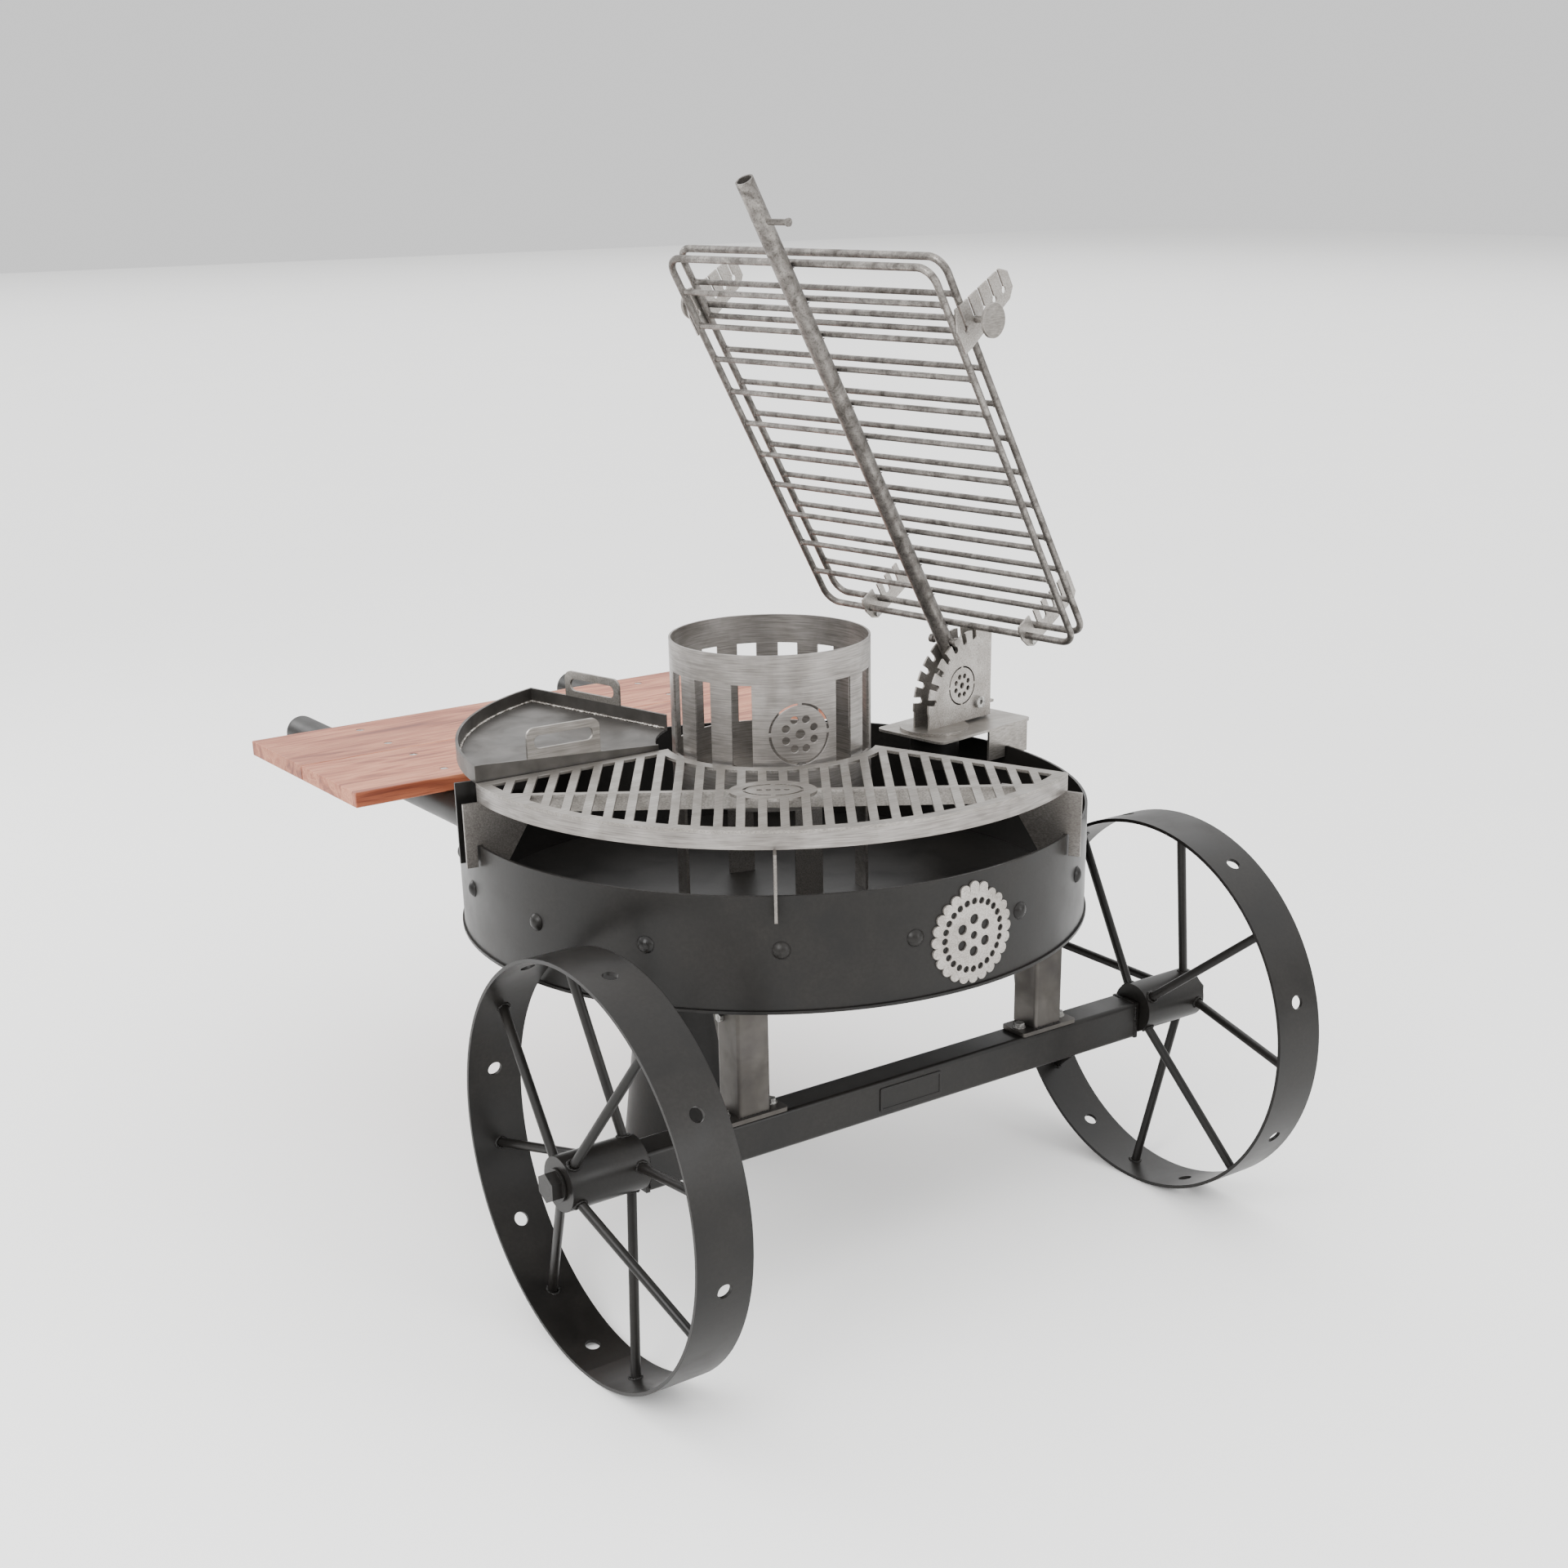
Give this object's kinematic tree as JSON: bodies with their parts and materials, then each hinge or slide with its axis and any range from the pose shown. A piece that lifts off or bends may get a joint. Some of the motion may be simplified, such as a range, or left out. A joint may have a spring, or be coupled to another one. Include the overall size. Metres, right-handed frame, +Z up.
{
  "type": "wheeled fire-pit grill",
  "caption": "Wheeled round fire pit with a steel bowl, slotted grate, griddle, fire basket, wooden shelf and a tilting grill on a swing arm.",
  "frame": {"origin": "on the floor, under the middle of the axle line", "axes": "+X along the axle, +Y from the axle to the push handles, +Z up"},
  "size_m": [1.138, 1.65, 1.4511],
  "materials": {
    "black_paint": "satin",
    "black_steel": "satin",
    "bare_steel": "mill",
    "stainless": "brushed",
    "worn_steel": "mottled",
    "griddle_steel": "mill",
    "zinc": "plated",
    "black_rubber": "matt",
    "wood": "oiled"
  },
  "bodies": {
    "cart": {"beam": "black_paint", "beam_plaque": "black_paint", "axle_left": "black_paint", "axle_right": "black_paint", "axle_nuts": "black_steel", "leg_left": "bare_steel", "leg_right": "bare_steel", "leg_bolts": "zinc", "rear_leg": "black_paint", "bowl_ring": "black_paint", "bowl_floor": "black_paint", "bowl_rivets": "black_steel", "bowl_badge": "stainless", "handle_left": "black_paint", "handle_right": "black_paint", "handle_caps": "black_rubber", "shelf_plank_front": "wood", "shelf_plank_rear": "wood", "shelf_screws": "zinc", "arm_bracket": "stainless", "turret_sleeve": "black_paint"},
    "wheel_left": {"wheel_rim_left": "black_paint", "wheel_spokes_left": "black_paint", "wheel_hub_left": "black_paint"},
    "wheel_right": {"wheel_rim_right": "black_paint", "wheel_spokes_right": "black_paint", "wheel_hub_right": "black_paint"},
    "turret": {"turret_base": "stainless", "quadrant_front": "stainless", "quadrant_back": "stainless", "turret_web": "stainless", "pivot_bolt": "zinc"},
    "index_pin": {"index_pin": "zinc"},
    "arm": {"arm_tube": "worn_steel", "arm_peg": "worn_steel", "grill_frame": "worn_steel", "grill_rods": "worn_steel", "notch_brackets": "stainless", "bracket_bolts": "zinc", "latch_plates": "stainless"},
    "lock_pin": {"lock_pin": "worn_steel"},
    "clamp_grill": {"clamp_frame": "worn_steel", "clamp_rods": "worn_steel"},
    "latch": {"latch_rod": "worn_steel", "latch_discs": "stainless"},
    "grate": {"grate_plate": "stainless", "grate_skirt": "stainless", "grate_bar": "stainless", "grate_hooks": "stainless"},
    "griddle": {"griddle_floor": "griddle_steel", "griddle_walls": "griddle_steel", "griddle_handles": "griddle_steel", "griddle_hooks": "black_steel"},
    "basket": {"basket_band_lower": "stainless", "basket_band_upper": "stainless", "basket_panel": "stainless", "basket_bars": "stainless", "basket_legs": "stainless", "basket_floor": "stainless"}
  },
  "joints": [
    {"name": "wheel_left_spin", "type": "hinge", "parent": "cart", "child": "wheel_left", "pos_m": [-0.4885, 0, 0.285], "axis": [1, 0, 0], "continuous": true},
    {"name": "wheel_right_spin", "type": "hinge", "parent": "cart", "child": "wheel_right", "pos_m": [0.4885, 0, 0.285], "axis": [1, 0, 0], "continuous": true},
    {"name": "turret_swing", "type": "hinge", "parent": "cart", "child": "turret", "pos_m": [0.34421, 0.3636, 0.658], "axis": [0, 0, 1], "range_deg": [-50, 60]},
    {"name": "index_pin_drop", "type": "slide", "parent": "turret", "child": "index_pin", "axis": [0, 0, -1], "range_m": [0, 0.006]},
    {"name": "arm_tilt", "type": "hinge", "parent": "turret", "child": "arm", "pos_m": [0.42706, 0.37747, 0.685], "axis": [-0.165, 0.9863, 0], "range_deg": [-12.5, 25]},
    {"name": "lock_pin_slide", "type": "slide", "parent": "arm", "child": "lock_pin", "axis": [0.5124, 0.0857, -0.8545], "range_m": [0, 0.018]},
    {"name": "clamp_grill_slide", "type": "slide", "parent": "arm", "child": "clamp_grill", "axis": [-0.5124, -0.0857, 0.8545], "range_m": [0, 0.08]},
    {"name": "latch_slide", "type": "slide", "parent": "arm", "child": "latch", "axis": [-0.5124, -0.0857, 0.8545], "range_m": [0, 0.03]},
    {"name": "grate_lift", "type": "slide", "parent": "cart", "child": "grate", "axis": [0, 0, 1], "range_m": [0, 0.05]},
    {"name": "griddle_lift", "type": "slide", "parent": "cart", "child": "griddle", "axis": [0, 0, 1], "range_m": [0, 0.05]},
    {"name": "basket_lift", "type": "slide", "parent": "cart", "child": "basket", "axis": [0, 0, 1], "range_m": [0, 0.2]}
  ]
}
